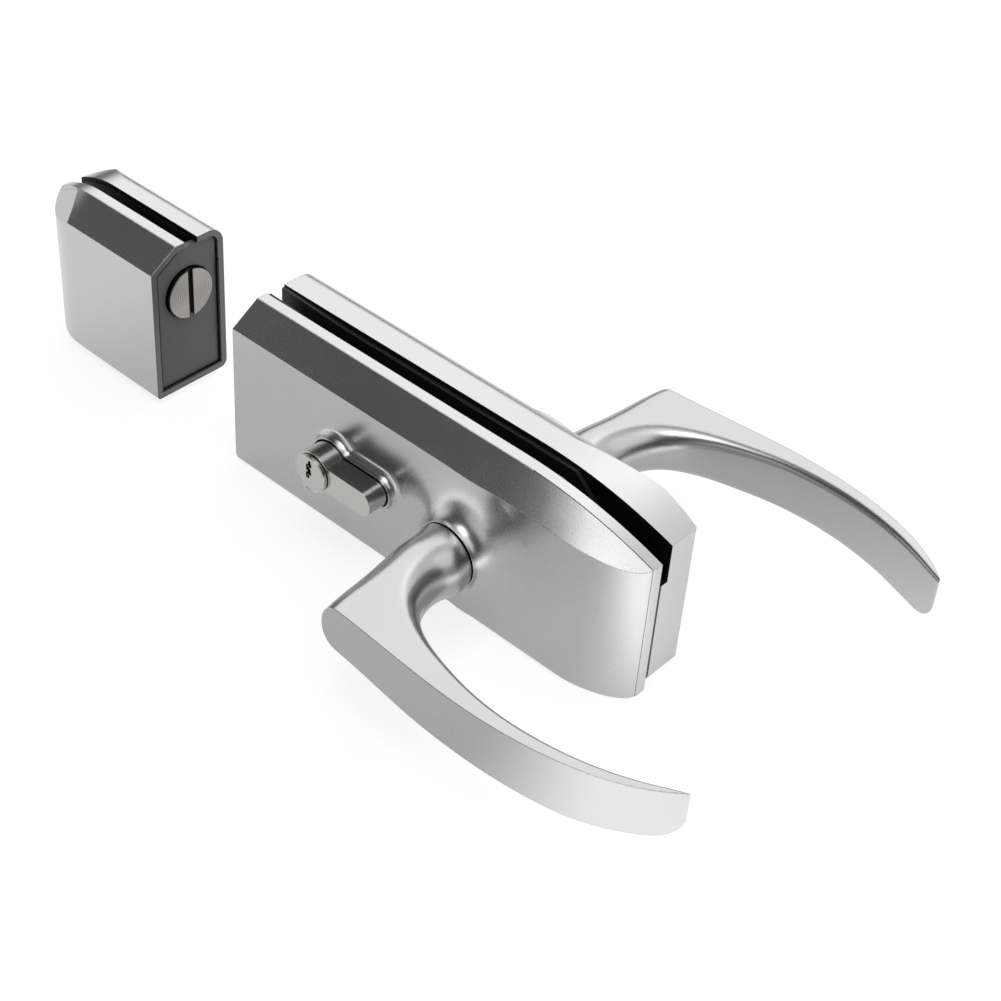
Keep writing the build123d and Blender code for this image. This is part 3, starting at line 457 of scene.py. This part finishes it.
def paint_shade_below(material, height):
    """Paints shade into a metal's colour below a place along X in metres, such as in a disc's slot and on
    its side, where shade falls.
    """
    tree = Tree(material.node_tree, clear=False)
    below = tree.math("LESS_THAN", tree.split(tree.place())["X"], height)
    tree.cover(tree.find("BSDF_PRINCIPLED").inputs["Base Color"], below, grey(DISC_PAINTED_SHADE))


def paint_shade_on_end(material):
    """Paints shade into a metal's colour on the faces that point along +X, at the piece's end."""
    tree = Tree(material.node_tree, clear=False)
    facing = tree.split(tree.add("ShaderNodeTexCoord").outputs["Normal"])
    amount = tree.between(facing["X"], *END_FACING, 0.0, 1.0)
    tree.cover(tree.find("BSDF_PRINCIPLED").inputs["Base Color"], amount, grey(END_PAINTED_SHADE))


def paint_shade_in_slot(material, low, high):
    """Paints nearly black shade into a metal's colour inside the glass slot, where shade falls, between
    two places along Y in millimetres.
    """
    tree = Tree(material.node_tree, clear=False)
    place = tree.split(tree.place())
    behind = tree.math("GREATER_THAN", place["Y"], (low - SLOT_MARGIN) * MM)
    before = tree.math("LESS_THAN", place["Y"], (high + SLOT_MARGIN) * MM)
    above = tree.math("GREATER_THAN", place["Z"], -SLOT_MARGIN * MM)
    inside = tree.math("MULTIPLY", tree.math("MULTIPLY", behind, before), above)
    shader = tree.find("BSDF_PRINCIPLED")
    tree.cover(shader.inputs["Base Color"], inside, grey(SLOT_PAINTED_SHADE))
    tree.cover(shader.inputs["Roughness"], inside, SLOT_ROUGHNESS, "FLOAT")


def make_materials():
    """All the materials by name, one for each finish of the lock."""
    materials = {name: metal(name, *values) for name, values in METALS.items()}
    for name, values in PLAIN_ONES.items():
        materials[name] = plain(name, *values)
    return materials


def dress_nodes(materials):
    """Gives every solid piece the material of its finish."""
    for part in frame["record"]["subparts"]:
        node = nodes_of[part["node"]]
        node.data.materials.clear()
        node.data.materials.append(materials[part["material_slot"]])


def dress_keeper(materials):
    """The keeper's end and slot get painted shade, and its disc has turned rings and painted shade."""
    satin = metal("keeper_satin_painted_shade", *KEEPER_SATIN)
    # Painted shade on the keeper's end and inside its glass slot
    paint_shade_on_end(satin)
    paint_shade_in_slot(satin, *KEEPER_SLOT)
    for name in ("keeper_front_cover", "keeper_front_plate", "keeper_back_body"):
        nodes_of[name].data.materials[0] = satin
    low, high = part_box("keeper_disc")
    turned_rings(materials["disc_nickel"], (Vector(low) + Vector(high)) / 2)
    # Painted shade on the disc below its face: in its slot and on its side
    paint_shade_below(materials["disc_nickel"], high[0] - DISC_FACE * MM)


def dress_slot():
    """The walls of the lock's glass slot get nearly black painted shade between the two halves."""
    satin = metal("lock_satin_painted_shade", *LOCK_SATIN)
    # Painted shade inside the lock's glass slot
    paint_shade_in_slot(satin, *LOCK_SLOT)
    for name in ("front_plate", "back_body"):
        nodes_of[name].data.materials[0] = satin


# Helpers for added pieces

TURNING_STEPS = 40


def box_mm(node):
    """The low and the high corner of a node's box, in millimetres."""
    return [Vector(corner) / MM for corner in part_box(node)]


def add_piece(name, data, material, body):
    """Shows a mesh or a curve as a piece that wears a material and rides on a body."""
    data.materials.append(material)
    piece = bpy.data.objects.new(name, data)
    bpy.context.scene.collection.objects.link(piece)
    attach(piece, body)


def mesh_piece(name, points, faces, material, body):
    """A smooth mesh made from points in metres."""
    mesh = bpy.data.meshes.new(name)
    mesh.from_pydata(points, [], faces)
    mesh.polygons.foreach_set("use_smooth", [True] * len(faces))
    add_piece(name, mesh, material, body)


def line_piece(name, points, radius, material):
    """A fine round line through points in millimetres, on the lock body."""
    curve = bpy.data.curves.new(name, "CURVE")
    curve.dimensions = "3D"
    curve.bevel_depth = radius * MM
    curve.bevel_resolution = 2
    curve.use_fill_caps = True
    spline = curve.splines.new("POLY")
    spline.points.add(len(points) - 1)
    for point, place in zip(spline.points, points):
        point.co = (*(Vector(place) * MM), 1)
    add_piece(name, curve, material, "lock_body")


def turned(profile, centre, toward, steps=TURNING_STEPS):
    """Points and faces of a profile of (radius, depth) in millimetres, turned about an axis along Y."""
    points = []
    faces = []
    for i in range(steps):
        angle = 2 * math.pi * i / steps
        for radius, depth in profile:
            offset = Vector((radius * math.cos(angle), toward * depth, radius * math.sin(angle)))
            points.append(Vector(centre) + offset * MM)
    rows = len(profile)
    for i in range(steps):
        for k in range(rows - 1):
            a = i * rows + k
            b = (i + 1) % steps * rows + k
            faces.append((a, b, b + 1, a + 1) if toward < 0 else (a, a + 1, b + 1, b))
    return points, faces


# A thin dark strip of painted shade that fills the parting of the two halves at the lock's end, in
# millimetres:
# how far it bulges, and where it runs from and to along Y and Z
PARTING_SHADE_OUT = 0.12
PARTING_SHADE_SIDES = (-3.4, 1.2)
PARTING_SHADE_HEIGHTS = (-38.9, -0.2)
PARTING_SHADE_STEPS = 8


def make_parting_shade_strip(material):
    """A thin rounded dark strip of painted shade down the end of the back half, beside the nose, where the
    parting is in shade.
    """
    back_end = box_mm("back_body")[1].x
    low_y, high_y = PARTING_SHADE_SIDES
    points = []
    for z in PARTING_SHADE_HEIGHTS:
        for k in range(PARTING_SHADE_STEPS + 1):
            share = k / PARTING_SHADE_STEPS
            out = PARTING_SHADE_OUT * math.sin(math.pi * share) ** 0.5
            points.append(Vector((back_end + out, low_y + (high_y - low_y) * share, z)) * MM)
    row = PARTING_SHADE_STEPS + 1
    faces = [(k, k + 1, row + k + 1, row + k) for k in range(PARTING_SHADE_STEPS)]
    mesh_piece("parting_shade_strip", points, faces, material, "lock_body")


# Dark lines of painted shade in the seam between the front cover and its clamp plate, in millimetres: the
# arc of the nose's top edge, where the seam starts along it, and its end at the nose
ARC_START = 8.8
ARC_RADIUS = 166.0
SEAM_START = ARC_START + 7
SEAM_END = 64.76
SEAM_STEPS = 24
TOP_SEAM_RADIUS = 0.11
END_SEAM_RADIUS = 0.05


def make_cover_seam_shade(material):
    """Fine dark lines of painted shade along the nose's top edge and down its end, where the cover meets
    its plate.
    """
    low, high = box_mm("front_plate")
    seam_y = box_mm("front_cover")[1].y
    points = []
    for k in range(SEAM_STEPS + 1):
        x = SEAM_START + (SEAM_END - SEAM_START) * k / SEAM_STEPS
        drop = ARC_RADIUS - math.sqrt(ARC_RADIUS ** 2 - (x - ARC_START) ** 2)
        points.append((x, seam_y, high.z - drop))
    line_piece("cover_seam_shade", points, TOP_SEAM_RADIUS, material)
    down = [points[-1], (SEAM_END, seam_y, low.z + TOP_SEAM_RADIUS)]
    line_piece("cover_end_seam_shade", down, END_SEAM_RADIUS, material)


# A dark line of painted shade in the keeper's end groove, in millimetres: its radius, its depth below the
# rim, the rim's width, the slope of the bevel, how far the line laps onto the plate, and how high it
# stands behind
GROOVE_RADIUS = 0.42
GROOVE_DEPTH = 0.32
RIM_INSET = 2.7
BEVEL_SLOPE = 0.632
GROOVE_LAP = 0.6
GROOVE_BACK_TOP = 10.0


def make_keeper_groove_shade(material):
    """A dark line of painted shade in the groove between the keeper's rim and its end plate."""
    low, high = box_mm("keeper_end_plate")
    rim = box_mm("keeper_front_cover")[1]
    top = box_mm("keeper_front_plate")[1].z
    front = low.y - GROOVE_RADIUS
    back = high.y + GROOVE_RADIUS
    bottom = low.z - GROOVE_RADIUS
    lip = top - RIM_INSET * math.sqrt(1 + BEVEL_SLOPE ** 2)
    foot = lip - BEVEL_SLOPE * (rim.y - front)
    outline = [
        (rim.y + GROOVE_LAP, lip),
        (rim.y, lip),
        (front, foot),
        (front, bottom),
        (back, bottom),
        (back, GROOVE_BACK_TOP),
    ]
    points = [(rim.x - GROOVE_DEPTH, y, z) for y, z in outline]
    line_piece("keeper_end_groove_shade", points, GROOVE_RADIUS, material)


# The caps of the key plugs, in millimetres: the cap and its raised rim
CAP_RADIUS = 7.0
RIM_RADIUS = 6.55
RIM_TUBE = 0.28
RIM_LIFT = 0.6
RIM_STEPS = 8
# The key pins: their size, how deep they stand in the keyway, and their places in it
PIN_RADIUS = 0.30
PIN_SHOULDER = 0.5
PIN_DOME = 0.25
PIN_DEPTH = 2.4
PIN_COUNT = 4
PIN_STEP = 1.75
PIN_SIDE = 0.62
PIN_FACETS = 14
DOME_STEPS = 4
KEYWAY_MIDDLE = (-0.5, 1.6)
# Each side of the cylinder: its name, its key plug and the body that the plug is on
CYLINDER_SIDES = (("front", "plug_front", "front_key_core"), ("back", "plug_back", "back_key_plug"))


def cap_middle(node):
    """The middle of a key plug's outer face, and 1 or -1 for the way into the lock along Y."""
    low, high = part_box(node)
    inward = 1 if low[1] + high[1] < 0 else -1
    face = low[1] if inward > 0 else high[1]
    return Vector(((low[0] + high[0]) / 2, face, high[2] - CAP_RADIUS * MM)), inward


def make_cap_rim(name, node, material, body):
    """The raised rim round the cap of a key plug."""
    centre, inward = cap_middle(node)
    profile = []
    for k in range(RIM_STEPS + 1):
        angle = math.pi * k / RIM_STEPS
        profile.append((RIM_RADIUS + RIM_TUBE * math.cos(angle), -RIM_TUBE * RIM_LIFT * math.sin(angle)))
    points, faces = turned(profile, centre, inward)
    mesh_piece(name, points, faces, material, body)


def make_pins(name, node, material, body):
    """Round key pins that stand into the keyway from either side."""
    centre, inward = cap_middle(node)
    profile = []
    for k in range(DOME_STEPS + 1):
        angle = math.pi / 2 * k / DOME_STEPS
        profile.append((PIN_RADIUS * math.sin(angle), PIN_SHOULDER - PIN_DOME * math.cos(angle)))
    profile.append((PIN_RADIUS, PIN_DEPTH))
    middle_x, middle_z = KEYWAY_MIDDLE
    points = []
    faces = []
    for i in range(PIN_COUNT):
        side = PIN_SIDE if i % 2 else -PIN_SIDE
        height = (i - (PIN_COUNT - 1) / 2) * PIN_STEP
        shift = Vector((middle_x + side, 0, middle_z + height)) * MM
        pin_points, pin_faces = turned(profile, centre + shift, inward, PIN_FACETS)
        faces += [tuple(k + len(points) for k in face) for face in pin_faces]
        points += pin_points
    mesh_piece(name, points, faces, material, body)


def main():
    bpy.context.scene.view_settings.view_transform = "Standard"
    make_camera()
    make_world()
    make_floor()
    make_key_lamp()
    materials = make_materials()
    dress_nodes(materials)
    dress_keeper(materials)
    dress_slot()
    # Dark lines of painted shade in the partings of the lock and in the keeper's end groove, in black
    # rubber
    for make_painted_shade_line in (make_parting_shade_strip, make_cover_seam_shade, make_keeper_groove_shade):
        make_painted_shade_line(materials["liner_rubber"])
    for make, name in ((make_cap_rim, "cap_rim_"), (make_pins, "key_pins_")):
        for side, plug, body in CYLINDER_SIDES:
            make(name + side, plug, materials["cylinder_nickel"], body)


main()
